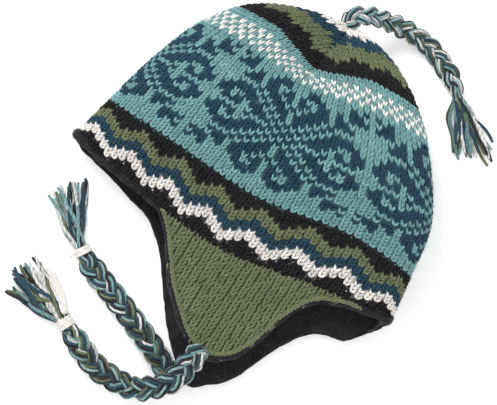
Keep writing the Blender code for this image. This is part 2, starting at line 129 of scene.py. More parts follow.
# The braids' middles, in millimetres from the apex or from the tip of the braid's flap: across, up, height.
CROWN_PATH = (
    (-2.4, -1.6, 35.5), (-1.2, 3.6, 36.5), (2.6, 7.8, 34.5), (8.4, 11.4, 30), (15.1, 13.9, 24.5),
    (21.8, 15.7, 19.3), (28.9, 17, 14.6), (36.7, 17.7, 10.6), (44.6, 17.8, 7.6), (52.4, 16.5, 6),
    (59.6, 14.4, 5.6), (68.1, 10.9, 5.6), (75.7, 6.9, 5.6), (81.6, 3, 5.6), (84.6, 0, 5.6),
)
NEAR_PATH = (
    (-0.2, 3.6, 25.6), (-1.4, -2.4, 25.2), (-2.6, -8.2, 22.6), (-3.3, -13.9, 21), (-4.5, -20.9, 21.2),
    (-6.4, -26, 20.6), (-9.8, -31, 19), (-15, -36.4, 16.4), (-20.9, -41.3, 13), (-27, -44.4, 9.6),
    (-34.2, -45.8, 7.3), (-42.2, -46.1, 6.6), (-50.2, -45.9, 6.7), (-57.2, -44.4, 6.7), (-63.6, -42.2, 6.7),
    (-69.8, -39.6, 6.7), (-76.4, -36.6, 6.7), (-81.2, -34.5, 6.7), (-84.2, -33.1, 6.7),
)
FAR_PATH = (
    (-9.1, -6.8, 6.7), (-15.4, -3.3, 6.7), (-22.7, 0.9, 6.7), (-30.1, 4.6, 6.7), (-39.2, 8.6, 6.7),
    (-47.6, 11.8, 6.7), (-56.2, 15.2, 6.7), (-64.7, 18.5, 6.7), (-73.2, 21.7, 6.7), (-81.6, 24.6, 6.7),
    (-89.7, 27.5, 6.7), (-97.4, 30.4, 6.7), (-103.4, 33.5, 6.7), (-106, 35, 6.7),
)
# The ends of the tassels' locks, in millimetres from the same points: across and up.
CROWN_TIPS = ((102, -33), (108, -34.4), (111.8, -30.8), (116, -29.6), (119.6, -25.6), (126, -24.6), (122, -18.8))
NEAR_TIPS = ((-126.6, -32), (-131, -32.3), (-132, -24.4), (-133.8, -18.4), (-131.8, -12), (-129.8, -5),
             (-123.2, -10.4))
FAR_TIPS = ((-139, 50.3), (-146.2, 56.7), (-144, 62.7), (-141.8, 66.3), (-136.8, 71.3), (-133, 75.7), (-130, 75.9))

# Yarns in linear red, green and blue: the body of the yarn, then its deep colour, which the wool finish paints into
# the grooves between the plies as painted shade and into random flecks of hair and heather.

YARNS = {
    "teal": ((0.232, 0.458, 0.460), (0.050, 0.164, 0.173)),
    "petrol": ((0.016, 0.072, 0.118), (0.004, 0.020, 0.038)),
    "olive": ((0.195, 0.230, 0.112), (0.050, 0.064, 0.021)),
    "black": ((0.014, 0.0125, 0.0155), (0.003, 0.003, 0.004)),
    "white": ((0.93, 0.905, 0.87), (0.62, 0.57, 0.53)),
}


# Curves and the cap's surface

def lengths(line):
    """How far along a line each of its points is."""
    return np.concatenate([[0], np.cumsum(np.linalg.norm(np.diff(line, axis=0), axis=1))])


def unit(vectors):
    return vectors / np.maximum(np.linalg.norm(vectors, axis=-1, keepdims=True), 1e-12)


def path_length(path):
    return float(lengths(path)[-1])


def frames(path):
    """The way along a line, the way to its side and the way over it, at each point."""
    way = unit(np.gradient(path, axis=0))
    side = unit(np.cross(way, (0, 0, 1)))
    return way, side, np.cross(side, way)


def evenly(line, count):
    """The same line through evenly spaced points."""
    run = lengths(line)
    even = np.linspace(0, run[-1], count)
    return np.stack([np.interp(even, run, line[:, k]) for k in range(3)], axis=1)


def kept_above(points, floor):
    points[..., 2] = np.maximum(points[..., 2], floor)
    return points


def hermite(t, width, low, high, low_slope, high_slope):
    return (
        (2 * t**3 - 3 * t**2 + 1) * low
        + (t**3 - 2 * t**2 + t) * width * low_slope
        + (3 * t**2 - 2 * t**3) * high
        + (t**3 - t**2) * width * high_slope
    )


def slopes_of(steps, values):
    rises = (np.diff(values, axis=0).T / steps).T
    return np.concatenate([rises[:1], 0.5 * (rises[:-1] + rises[1:]), rises[-1:]])


def cubic(at, knots, values):
    """A smooth curve through uneven knots."""
    knots, values, at = (np.asarray(v, float) for v in (knots, values, at))
    steps = np.diff(knots)
    slopes = slopes_of(steps, values)
    at = np.clip(at, knots[0], knots[-1])
    cell = np.clip(np.searchsorted(knots, at, side="right") - 1, 0, len(steps) - 1)
    shape = at.shape + (1,) * (values.ndim - 1)
    width = steps[cell].reshape(shape)
    t = (at - knots[cell]).reshape(shape) / width
    return hermite(t, width, values[cell], values[cell + 1], slopes[cell], slopes[cell + 1])


def cubic_rows(at, knots, rows):
    """The same curve, with its own row of values for each point."""
    knots = np.asarray(knots, float)
    steps = np.diff(knots)
    slopes = slopes_of(steps, rows.T)
    cell = np.clip(np.searchsorted(knots, at, side="right") - 1, 0, len(steps) - 1)
    pick = np.arange(len(at))
    width = steps[cell]
    return hermite((at - knots[cell]) / width, width, rows[pick, cell], rows[pick, cell + 1],
                   slopes[cell, pick], slopes[cell + 1, pick])


def smooth_between(points, count):
    """A smooth line of so many points through a few."""
    points = np.asarray(points, float)
    run = lengths(points)
    return cubic(np.linspace(0, run[-1], count), run, points)


def across_share(angle, blunt):
    c = np.cos(angle)
    return 0.5 * (1 - (1 - blunt) * c - blunt * np.sin(0.5 * math.pi * c))


def soft_floor(height):
    bend = (height + FLOOR_BLEND) ** 2 / (4 * FLOOR_BLEND)
    return np.where(height > FLOOR_BLEND, height, np.where(height > -FLOOR_BLEND, bend, 0))


def surface(angle, level):
    """A point on the outside of the cap: angle 0 at the front fold, half a turn at the back fold, the upper side
    between them. Level 0 is the rim and 1 the apex, and below 0 it runs down a flap in shares of RIM_WIDTH."""
    angle, level = np.broadcast_arrays(np.asarray(angle, float), np.asarray(level, float))
    shape = angle.shape
    angle, level = angle.reshape(-1), level.reshape(-1)
    up_level = np.clip(level, 0, 1)
    below = np.clip(-level, 0, None) * RIM_WIDTH
    front, back, side, near_top, far_low, blunt = cubic(up_level, RINGS[:, 0], RINGS[:, 1:]).T
    across = across_share(angle, blunt)
    sine = np.sin(angle)
    near = sine >= 0
    bulge = np.abs(sine)
    near_lines = cubic(up_level, NEAR_LEVELS[:, 0], NEAR_LEVELS[:, 1:])
    far_lines = cubic(up_level, FAR_LEVELS[:, 0], FAR_LEVELS[:, 1:])
    up = cubic_rows(across, STATIONS, np.where(near[:, None], near_lines, far_lines))
    turn = np.arccos(np.clip(np.cos(angle), -1, 1)) / math.pi
    dart = np.clip(1 - np.abs(turn - DART_TURN) / DART_WIDTH, 0, None)
    up = up - cubic(up_level, DARTS[:, 0], DARTS[:, 1]) * dart
    x = RIM_START[0] + RIM_WIDTH * (front + across * (back - front)) / 100
    y = RIM_START[1] + CROWN_RISE * up / 100 - below
    side, near_top, far_low = (PUFF_HEIGHT * np.clip(v, 0, None) / 100 for v in (side, near_top, far_low))
    valley = DART_VALLEY * cubic(up_level, (0, 0.6, 0.76, 0.9, 1), (0, 0, 1, 1, 0)) * dart**3
    top = side + (near_top - side) * bulge**0.92 - valley
    top = top - np.clip(top - FLAP_TOP_HEIGHT, 0, None) * (1 - np.exp(-below / FLAP_DROP_LENGTH))
    low = far_low + soft_floor(side - far_low - 1.45 * (side - far_low) * bulge)
    low = low * (1 - bulge * (1 - np.exp(-below / FAR_SETTLE_LENGTH)))
    return np.stack([x, y, np.where(near, top, low)], axis=-1).reshape(shape + (3,))


def outward(angle, level):
    step = 0.004
    around = surface(angle + step, level) - surface(angle - step, level)
    rise = surface(angle, np.minimum(level + step, 0.999)) - surface(angle, level - step)
    return unit(np.cross(around, rise))


class Cloth:
    """A table of a surface's points and outward directions, looked up by column and row."""

    def __init__(self, angles, levels, wraps):
        self.points = surface(angles, levels)
        self.normals = outward(angles, levels)
        self.wraps = wraps

    def at(self, column, row, height):
        rows, columns = self.points.shape[:2]
        row = np.clip(row, 0, rows - 1.001)
        column = np.mod(column, columns - 1) if self.wraps else np.clip(column, 0, columns - 1.001)
        i, j = row.astype(int), np.minimum(column.astype(int), columns - 2)
        s, t = (row - i)[..., None], (column - j)[..., None]

        def mixed(table):
            low = table[i, j] * (1 - t) + table[i, j + 1] * t
            return low * (1 - s) + (table[i + 1, j] * (1 - t) + table[i + 1, j + 1] * t) * s

        return mixed(self.points) + mixed(self.normals) * height[..., None]


# Rows and wales of the crown. It has four quarters of WALES wales each, and past DART_ROW they narrow to the apex.

ROW_KNOTS = (0, 43, 49, 64)
ROW_LEVELS = (0, 0.652, 0.750, 1)
RIM_ROW = 0.0108
LAST_ROW = 63.4
ROW_STEP = 0.25
FIRST_ROW = -2
QUARTER_CELLS = 48
FINE_CELLS = 60
DART_ROW = 45
WALES = 24
HALF = WALES // 2
AXIS_TURNS = ((0, 0.455, 0.758, 1), (0.492, 0.481, DART_TURN, DART_TURN))
QUARTER_WARPS = (0.12, -0.13, 0, 0)
WARP_ROWS, WARP_SHARES = (8, 22), (0.2, 1)

table_rows = np.arange(FIRST_ROW, LAST_ROW + ROW_STEP, ROW_STEP)
table_levels = np.where(table_rows < 0, table_rows * RIM_ROW, np.interp(table_rows, ROW_KNOTS, ROW_LEVELS))
axes = math.pi * np.interp(np.clip(table_levels, 0, 1), *AXIS_TURNS)[:, None]
cells = np.arange(FINE_CELLS)[None, :] / FINE_CELLS
fine_turns = np.concatenate([
    axes * cells, axes + (math.pi - axes) * cells, math.pi + (math.pi - axes) * cells,
    FULL - axes + axes * cells, np.full_like(axes, FULL)], axis=1)
fine_points = surface(fine_turns, table_levels[:, None])
crown_turns = np.zeros((len(table_rows), 4 * QUARTER_CELLS + 1))
quarter_lengths = np.zeros((len(table_rows), 4))
for k in range(len(table_rows)):
    for quarter in range(4):
        fine = slice(FINE_CELLS * quarter, FINE_CELLS * (quarter + 1) + 1)
        run = lengths(fine_points[k, fine])
        shares = np.linspace(0, 1, QUARTER_CELLS + 1)
        warp = QUARTER_WARPS[quarter] * np.interp(table_rows[k], WARP_ROWS, WARP_SHARES)
        shares = run[-1] * (shares + warp * shares * (1 - shares))
        found = np.interp(shares, run, fine_turns[k, fine])
        crown_turns[k, QUARTER_CELLS * quarter:QUARTER_CELLS * (quarter + 1) + 1] = found
        quarter_lengths[k, quarter] = run[-1]
crown = Cloth(crown_turns, table_levels[:, None], True)
dart_index = int((DART_ROW - FIRST_ROW) / ROW_STEP)
wale_widths = np.maximum(1 / WALES, quarter_lengths[dart_index] / WALES / np.maximum(quarter_lengths, 1e-5))


def wale_share(row, quarter):
    """How wide a wale is there, as a share of a quarter of the way round."""
    place = np.clip((np.asarray(row, float) - FIRST_ROW) / ROW_STEP, 0, len(table_rows) - 1.001)
    i = place.astype(int)
    t = place - i
    return wale_widths[i, quarter] * (1 - t) + wale_widths[i + 1, quarter] * t


def crown_at(turn, row, height):
    return crown.at(turn * QUARTER_CELLS, (row - FIRST_ROW) / ROW_STEP, height)


def on_crown(quarter, wale, row, height):
    """A point over the crown, the wale counted from the middle of its quarter."""
    return crown_at(quarter + 0.5 + wale * wale_share(row, quarter), row, height)


def whole_wale(quarter, step):
    """A wale's number round the cap, from its steps off the middle of its quarter."""
    return WALES * quarter - HALF + step


# The pattern. The bands end at these rows, and their edges go up and down by the wave as it repeats.

WAVE = (0, 1, 2, 3, 2, 1)
RIM_BANDS = ((2, "black"), (5, "white"), (8, "petrol"), (11, "olive"), (16, "black"))
TOP_WAVE = (0, 1, 1, 2, 1, 1)
TOP_BANDS = ((52, "black"), (56, "olive"), (59, "petrol"), (64, "white"))
MOTIF_ROWS = (16, 43)
CHECKS_END = 47
PLAIN_END = 49
MIDDLE_ROW = 30
# The petrol flower on teal, by wales off its middle: the teal stitches in each, in rows off its middle row, and then
# how many rows off it is all teal, below and above.
MOTIF = {
    0: ({1, 3, 4, 5}, 7, 7), 1: ({0, 2, 6}, 11, 10), 2: ({1, 3, 7, 9}, 12, 12), 3: ({0, 2, 4, 8, 9}, 12, 12),
    4: ({0, 3, 5}, 11, 11), 5: ({0, 4, 6}, 10, 10), 6: ({1, 5}, 7, 7), 7: ({0, 1, 2, 6}, 10, 10),
    8: ({0, 3, 6}, 9, 9), 9: ({0, 2, 3, 6, 8}, 12, 12), 10: ({0, 5, 6, 7, 8}, 11, 11),
    11: ({0, 1, 4, 5, 6, 7, 8, 10}, 12, 12), 12: (set(), 0, 0),
}


def banded(row, bands):
    return next((yarn for end, yarn in bands if row < end), bands[-1][1])


def yarn_at(wale, row):
    """Which yarn a stitch is knitted in. Wale 0 is the middle of the upper side."""
    if row < MOTIF_ROWS[0]:
        return banded(row - WAVE[wale % len(WAVE)], RIM_BANDS)
    if row < MOTIF_ROWS[1]:
        single, below, above = MOTIF[abs((wale + HALF) % WALES - HALF)]
        off = abs(row - MIDDLE_ROW)
        solid_from = below if row < MIDDLE_ROW else above
        return "teal" if off in single or off >= solid_from else "petrol"
    if row < CHECKS_END:
        return "white" if (wale + row) % 2 else "teal"
    if row < PLAIN_END:
        return "teal"
    return banded(row - TOP_WAVE[wale % len(TOP_WAVE)], TOP_BANDS)


# Meshes

def mesh_piece(name, points, faces, material, uv=None, tints=None, shades=None):
    """A smooth piece from points and faces, with its map, its colours and its light and dark stitches."""
    mesh = bpy.data.meshes.new(name)
    mesh.from_pydata(np.asarray(points, np.float32).tolist(), [], faces)
    mesh.polygons.foreach_set("use_smooth", np.ones(len(faces), bool))
    if uv is not None:
        corners = np.zeros(len(mesh.loops), np.int32)
        mesh.loops.foreach_get("vertex_index", corners)
        layer = mesh.uv_layers.new(name="yarn_map")
        layer.data.foreach_set("uv", np.asarray(uv, np.float32)[corners].reshape(-1))
    if tints is not None:
        layer = mesh.color_attributes.new("tint", "FLOAT_COLOR", "POINT")
        flat = np.concatenate([np.asarray(tints, np.float32), np.ones((len(points), 1), np.float32)], axis=1)
        layer.data.foreach_set("color", flat.reshape(-1))
    if shades is not None:
        layer = mesh.attributes.new("shade", "FLOAT", "POINT")
        layer.data.foreach_set("value", np.asarray(shades, np.float32))
    mesh.validate()
    piece = bpy.data.objects.new(name, mesh)
    bpy.context.scene.collection.objects.link(piece)
    mesh.materials.append(material)
    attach(piece, "root")
    return piece


def tube_faces(rings, sides, start=0, joined=False):
    """The faces of a tube of rings of points, capped at its ends or joined end to end."""
    faces = []
    for ring in range(rings if joined else rings - 1):
        low, high = start + ring * sides, start + (ring + 1) % rings * sides
        faces += [(low + s, low + (s + 1) % sides, high + (s + 1) % sides, high + s) for s in range(sides)]
    if not joined:
        last = start + (rings - 1) * sides
        faces += [tuple(range(start, start + sides))[::-1], tuple(range(last, last + sides))]
    return faces


def wall_faces(rows, columns, round_):
    """The faces of a wall of two layers of rows, outer and inner, which goes all round or has two ends."""
    faces = []
    inner = rows * columns
    top = inner - columns
    for c in range(columns if round_ else columns - 1):
        n = (c + 1) % columns
        for low in range(0, top, columns):
            high = low + columns
            faces += [(low + c, low + n, high + n, high + c),
                      (inner + high + c, inner + high + n, inner + low + n, inner + low + c)]
        faces += [(inner + c, inner + n, n, c), (top + c, top + n, inner + top + n, inner + top + c)]
    for low in [] if round_ else range(0, top, columns):
        high, end = low + columns, columns - 1
        faces += [(high, inner + high, inner + low, low),
                  (low + end, inner + low + end, inner + high + end, high + end)]
    return faces


def modelled_leg(sides, rings):
    """One leg of yarn as a straight capped tube, cut into rings: how far along and round each point is, and faces."""
    bpy.ops.object.select_all(action="DESELECT")
    bpy.ops.mesh.primitive_cylinder_add(vertices=sides, radius=1, depth=1, location=(0, 0, 0.5))
    leg = bpy.context.object
    bpy.ops.object.mode_set(mode="EDIT")
    bpy.ops.mesh.select_all(action="DESELECT")
    shape = bmesh.from_edit_mesh(leg.data)
    for edge in shape.edges:
        edge.select = abs(edge.verts[0].co.z - edge.verts[1].co.z) > 0.5
    bmesh.update_edit_mesh(leg.data)
    bpy.ops.mesh.subdivide(number_cuts=rings - 2)
    bpy.ops.object.mode_set(mode="OBJECT")
    bpy.ops.object.transform_apply(location=True)
    co = np.array([v.co[:] for v in leg.data.vertices])
    faces = [tuple(p.vertices) for p in leg.data.polygons]
    bpy.data.objects.remove(leg)
    return co[:, 2], np.arctan2(co[:, 1], co[:, 0]), faces


# A leg of a stitch from its foot: the share along it, wales across, rows up, millimetres out and thickness.
LEG = np.array([
    (0, 0.05, -0.74, -2.05, 0.66), (0.16, 0.08, -0.53, -1.45, 0.88), (0.4, 0.155, -0.14, -0.86, 1),
    (0.66, 0.245, 0.27, -0.68, 0.97), (0.86, 0.335, 0.66, -0.74, 0.8), (1, 0.4, 0.98, -1.25, 0.45),
])
# The same for a loop that shows between two wales, under a change of yarn.
FLECK = np.array([
    (0, 0.4, -0.3, -1.9, 0.3), (0.35, 0.43, -0.12, -0.95, 0.5), (0.7, 0.47, 0.1, -0.8, 0.52),
    (1, 0.5, 0.3, -1.7, 0.3),
])
STITCH_MM = (5.05, 3.25)
LEG_PLIES = 2.2
PLY_PITCH = 0.0045


def stitch_shape(sides, rings, table=LEG, legs=2):
    """One V of two legs in (wale, row, depth in mm), with its map and faces."""
    along, turn, faces = modelled_leg(sides, rings)
    line, ahead, behind = (cubic(np.clip(along + step, 0, 1), table[:, 0], table[:, 1:])
                           for step in (0, 0.02, -0.02))
    way = unit((ahead - behind)[:, :2] * STITCH_MM)
    out = (line[:, 3] * np.cos(turn))[:, None] * np.stack([way[:, 1], -way[:, 0]], axis=1) / STITCH_MM
    right = np.concatenate([line[:, :2] + out, line[:, 2:3] + (line[:, 3] * np.sin(turn))[:, None]], axis=1)
    uv = np.stack([along * LEG_PLIES, turn / FULL], axis=1)
    if legs == 1:
        return right, uv, faces
    mirrored = [tuple(i + len(right) for i in face[::-1]) for face in faces]
    return np.concatenate([right, right * (-1, 1, 1)]), np.concatenate([uv, uv * (-1, 1)]), faces + mirrored


# How much stitches differ, in shares, wales, rows or millimetres.
GROW, LEAN, SLIP, LIFT, STRETCH = 0.07, 0.05, 0.045, 0.12, 0.04


def laid_stitches(name, shape, places, put, yarn, shade_spread):
    """Copies of one V at their places. Each place is (group, wale, row), and put gives the points."""
    local, uv, faces = shape
    group, wale, row = (np.asarray(v)[:, None] for v in zip(*places))
    count, size = len(row), len(local)
    grow = 1 + GROW * dice.standard_normal(count)[:, None]
    lean = LEAN * dice.standard_normal(count)[:, None]
    slip = SLIP * dice.standard_normal((count, 2))
    lift = LIFT * dice.standard_normal(count)[:, None]
    stretch = 1 + STRETCH * dice.standard_normal(count)[:, None]
    a = local[:, 0] * grow + lean * local[:, 1] + slip[:, :1]
    b = local[:, 1] * stretch + slip[:, 1:]
    points = kept_above(put(group + np.zeros_like(a, int), wale + a, row + b, (local[:, 2] + lift) * MM), 0.00005)
    all_faces = [tuple(i + size * k for i in face) for k in range(count) for face in faces]
    shades = np.repeat(1 + shade_spread * dice.standard_normal(count), size)
    piece = mesh_piece(name, points.reshape(-1, 3), all_faces, yarn_finish[yarn], np.tile(uv, (count, 1)), None,
                       shades)


def swept(paths, radii, sides, tints):
    """Capped tubes along many lines: the points, faces, map and colours of them all."""
    points, faces, maps, colours = [], [], [], []
    start = 0
    turn = np.arange(sides) * FULL / sides
    for path, radius, tint in zip(paths, radii, tints):
        radius = np.broadcast_to(radius, (len(path),))
        _, side, over = frames(path)
        rings = path[:, None] + radius[:, None, None] * (
            side[:, None] * np.cos(turn)[None, :, None] + over[:, None] * np.sin(turn)[None, :, None])
        points.append(kept_above(rings, 0.0001).reshape(-1, 3))
        run = lengths(path) / PLY_PITCH
        maps.append(np.stack([np.repeat(run, sides), np.tile(turn / FULL, len(path))], axis=1))
        colours.append(np.tile(np.asarray(tint, float), (len(path) * sides, 1)))
        faces += tube_faces(len(path), sides, start)
        start += len(path) * sides
    return np.concatenate(points), faces, np.concatenate(maps), np.concatenate(colours)


def plain_tubes(name, paths, radii, sides, yarn):
    """Tubes of one yarn along many lines."""
    points, faces, maps, _ = swept(paths, radii, sides, [(1, 1, 1)] * len(paths))
    piece = mesh_piece(name, points, faces, yarn_finish[yarn], maps, None, np.ones(len(points)))
    return piece


# Materials

class Value:
    """A number that changes over a surface, as a shader socket that takes part in sums."""

    def __init__(self, mix, socket):
        self.mix = mix
        self.socket = socket

    def sum(self, operation, first, second):
        return self.mix.value("ShaderNodeMath", {0: first, 1: second}, operation=operation)

    def __add__(self, other):
        return self.sum("ADD", self, other)

    def __sub__(self, other):
        return self.sum("SUBTRACT", self, other)

    def __mul__(self, other):
        return self.sum("MULTIPLY", self, other)


class Finish:
    """A material built as a sheet of nodes."""

    def __init__(self, name):
        self.material = bpy.data.materials.new(name)
        self.material.use_nodes = True
        self.tree = self.material.node_tree
        self.shader = self.tree.nodes["Principled BSDF"]

    def node(self, kind, sockets=None, **settings):
        node = self.tree.nodes.new(kind)
        for key, setting in settings.items():
            setattr(node, key, setting)
        for key, given in (sockets or {}).items():
            self.feed(node.inputs[key], given)
        return node

    def feed(self, socket, given):
        if isinstance(given, Value):
            given = given.socket
        if isinstance(given, bpy.types.NodeSocket):
            self.tree.links.new(given, socket)
        elif socket.type == "RGBA" and len(given) == 3:
            socket.default_value = (*given, 1)
        else:
            socket.default_value = given

    def value(self, kind, sockets=None, **settings):
        return Value(self, self.node(kind, sockets, **settings).outputs[0])

    def grain(self, scale, detail=2, rough=0.5):
        place = self.node("ShaderNodeTexCoord").outputs["Object"]
        return self.value("ShaderNodeTexNoise", {
            "Vector": place, "Scale": scale, "Detail": detail, "Roughness": rough})

    def attribute(self, name, output):
        return self.node("ShaderNodeAttribute", attribute_name=name).outputs[output]

    def clamped(self, given):
        return self.value("ShaderNodeClamp", {0: given})

    def blend(self, factor, first, second, how="MIX"):
        node = self.node("ShaderNodeMix", {0: factor, 6: first, 7: second}, data_type="RGBA", blend_type=how)
        return node.outputs[2]

    def bump(self, height, strength, distance):
        return self.node("ShaderNodeBump", {
            "Height": height, "Strength": strength, "Distance": distance}).outputs["Normal"]

    def set(self, **sockets):
        for key, given in sockets.items():
            self.feed(self.shader.inputs[key.replace("_", " ").title().replace("Ior", "IOR")], given)
        return self.material


PLIES = 3


def plies(finish):
    """0 to 1 across each ply of a twisted yarn, from the yarn's own map."""
    yarn_map = finish.node("ShaderNodeUVMap", uv_map="yarn_map").outputs[0]
    parts = finish.node("ShaderNodeSeparateXYZ", {0: yarn_map}).outputs
    along, around = Value(finish, parts[0]), Value(finish, parts[1])
    wave = finish.value("ShaderNodeMath", {0: (along + around * PLIES) * FULL}, operation="SINE")
    return wave * 0.5 + 0.5


def wool(name, body, deep, tinted=False, sheen=0.30):
    """Twisted woollen yarn: plies with painted shade in the grooves between them, a hairy surface, and light and dark
    stitches. Tinted yarn has its own colour.
    """
    finish = Finish(name)
    twisted = plies(finish)
    hairs = finish.grain(2600, 3, 0.65)
    heather = finish.grain(420, 2)
    if tinted:
        body = finish.attribute("tint", "Color")
        # The tint darkened to a fifth is the painted shade for the grooves between plies.
        deep = finish.blend(1, body, (0.20, 0.20, 0.22), "MULTIPLY")
    # Painted shade: the deep colour goes where the ply wave is low, in the grooves between plies, and at random where
    # the hair and heather noise is low.
    light = finish.clamped(twisted * 0.40 + hairs * 0.9 + heather * 0.5 - 0.36)
    colour = finish.blend(light, deep, body)
    if not tinted:
        shade = finish.attribute("shade", "Fac")
        grey = finish.node("ShaderNodeCombineXYZ", {0: shade, 1: shade, 2: shade})
        colour = finish.blend(1, colour, grey.outputs[0], "MULTIPLY")
    return finish.set(base_color=colour, roughness=0.92, sheen_weight=sheen, sheen_roughness=0.55,
                      specular_ior_level=0.18, normal=finish.bump(twisted * 0.55 + hairs * 0.6, 0.7, 0.0005))


def fleece_finish():
    """Short black fleece: a matted pile with a faint violet bloom."""
    finish = Finish("black_fleece")
    mat = finish.grain(520, 4, 0.6)
    tuft = finish.grain(150, 2, 0.5)
    light = finish.clamped(mat * 1.4 + tuft * 0.8 - 0.62)
    colour = finish.blend(light, (0.006, 0.0054, 0.0065), (0.036, 0.034, 0.039))
    return finish.set(base_color=colour, roughness=0.95, sheen_weight=0.35, sheen_roughness=0.4,
                      sheen_tint=(0.56, 0.54, 0.58), specular_ior_level=0.12,
                      normal=finish.bump(mat * 0.8 + tuft * 1.2, 0.8, 0.0012))


def ground_finish():
    """The strands behind the stitches: their yarn's colour darkened at random to between 0.42 and 0.85 of it, painted
    shade from the stitches over them.
    """
    finish = Finish("knit_ground")
    tint = finish.attribute("tint", "Color")
    hairs = finish.grain(1500, 3, 0.6)
    # Painted shade: the tint is multiplied by 0.42 to 0.85, mixed by the hair noise.
    colour = finish.blend(hairs, finish.blend(1, tint, (0.42, 0.42, 0.43), "MULTIPLY"),
                          finish.blend(1, tint, (0.85, 0.85, 0.86), "MULTIPLY"))
    return finish.set(base_color=colour, roughness=0.95, sheen_weight=0.1, sheen_roughness=0.5,
                      specular_ior_level=0.1, normal=finish.bump(hairs, 0.8, 0.0006))


DARK_SHEEN = {"black": 0.05, "petrol": 0.10}
yarn_finish = {
    yarn: wool(yarn + "_yarn", body, deep, sheen=DARK_SHEEN.get(yarn, 0.25))
    for yarn, (body, deep) in YARNS.items()
}
mixed_finish = wool("mixed_yarn", None, None, tinted=True)
ground = ground_finish()
fleece = fleece_finish()


# Braids and tassels

BRAID_PERIOD = 0.0315
BRAID_STEP = 0.001
STRAND_TWIST = 0.150
END_SIZE = 0.42
YARN_SPREAD = 0.12
COLOURS = {yarn: np.array(body) for yarn, (body, _) in YARNS.items()}
# Pale is the teal made lighter, a painted highlight on the braids and tassels; moss is the olive at about two thirds
# of its brightness.
COLOURS["pale"] = np.array((0.400, 0.600, 0.590))
COLOURS["moss"] = np.array((0.120, 0.160, 0.080))
NEAR_STRANDS = ("pale petrol black teal white petrol black olive petrol",
                "black petrol white olive black teal petrol black pale",
                "white teal petrol moss pale black petrol teal black")
FAR_STRANDS = ("petrol moss teal petrol black pale petrol olive black",
               "black teal petrol moss petrol teal black white petrol",
               "olive petrol black teal petrol pale moss petrol black")
CROWN_STRANDS = ("pale white petrol teal black pale white moss petrol",
                 "petrol pale white black teal petrol moss white pale",
                 "teal white black pale petrol white moss teal black")
NEAR_MIXTURE = """olive petrol petrol black teal black white petrol olive petrol olive black white white
    teal black petrol petrol white olive white moss petrol black pale olive petrol white"""
FAR_MIXTURE = """black white teal petrol white petrol petrol petrol teal olive white black black petrol
    white teal teal petrol white teal petrol white pale white black petrol white petrol"""
CROWN_MIXTURE = """petrol teal white petrol white petrol teal black teal petrol teal olive white petrol
    petrol white petrol teal petrol black white moss olive petrol pale petrol olive pale"""


def on_cap(across, up):
    return np.array((RIM_START[0] + RIM_WIDTH * across / 100, RIM_START[1] + CROWN_RISE * up / 100, 0))


apex = on_cap(RINGS[-1, 1], 100)
near_tip = on_cap(*NEAR_FLAP[np.argmin(NEAR_FLAP[:, 1])])
far_tip = on_cap(*FAR_FLAP[np.argmin(FAR_FLAP[:, 1])])


def varied(yarn):
    return COLOURS[yarn] * (1 + YARN_SPREAD * dice.standard_normal())


def mixed_piece(name, paths, radii, tints, node):
    points, faces, maps, colours = swept(paths, radii, 7, tints)
    piece = mesh_piece(name, points, faces, mixed_finish, maps, colours)
    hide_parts(node)
    return piece


def braided(name, table, anchor, width, tall, tapers, lower, phase, strands):
    """Three strands of yarns plaited along a line, each yarn its own tube. The braid is slim at its ends."""
    line = smooth_between(anchor + np.array(table, float) * MM, 600)
    path = evenly(line, int(round(path_length(line) / BRAID_STEP)) + 1)
    line = path - (0, 0, lower)
    _, side, over = frames(line)
    run = np.linspace(0, path_length(path), len(path))
    ends = np.minimum(run / tapers[0], (run[-1] - run) / tapers[1])
    ends = np.minimum(1, END_SIZE + (1 - END_SIZE) * ends)
    yarn_radius = width * 0.060
    bundle = width * 0.132
    swing = (width / 2 - bundle - yarn_radius) * ends
    rise = (tall / 2 - bundle * 0.8 - yarn_radius) * ends
    paths, radii, tints = [], [], []
    for strand, yarns in enumerate(strands):
        t = FULL * (run / BRAID_PERIOD + strand / len(strands)) + phase
        centre = line + side * (swing * np.sin(t))[:, None] + over * (rise * np.sin(2 * t))[:, None]
        _, own_side, own_over = frames(centre)
        yarns = yarns.split()
        for k, yarn in enumerate(yarns):
            twist = FULL * (run / STRAND_TWIST + k / len(yarns) + 0.13 * strand)
            size = bundle * (0.7 + 0.3 * ends)
            wander = 0.00022 * np.sin(run * 420 + 2.4 * k + strand)
            at = centre + own_side * (size * 1.42 * np.cos(twist) + wander)[:, None]
            at = at + own_over * (size * 0.86 * np.sin(twist))[:, None]
            paths.append(kept_above(at, yarn_radius * 0.75))
            radii.append(yarn_radius * (1 + 0.05 * np.sin(run * 230 + k * 1.9 + strand)))
            tints.append(varied(yarn))
    return mixed_piece(name, paths, radii, tints, name.replace("_plait", "")), path, line


def end_frame(line):
    """A line's last point, the way it goes there, and the ways to its side and over it."""
    way = unit(line[-1] - line[-8])
    side = np.cross(way, (0, 0, 1))
    return line[-1], way, side, np.cross(side, way)


TASSEL_POINTS = 30
TASSEL_YARN = 0.00112
THROAT = 0.0029
TIP_SPREAD = 0.0019
GOLDEN = 0.382


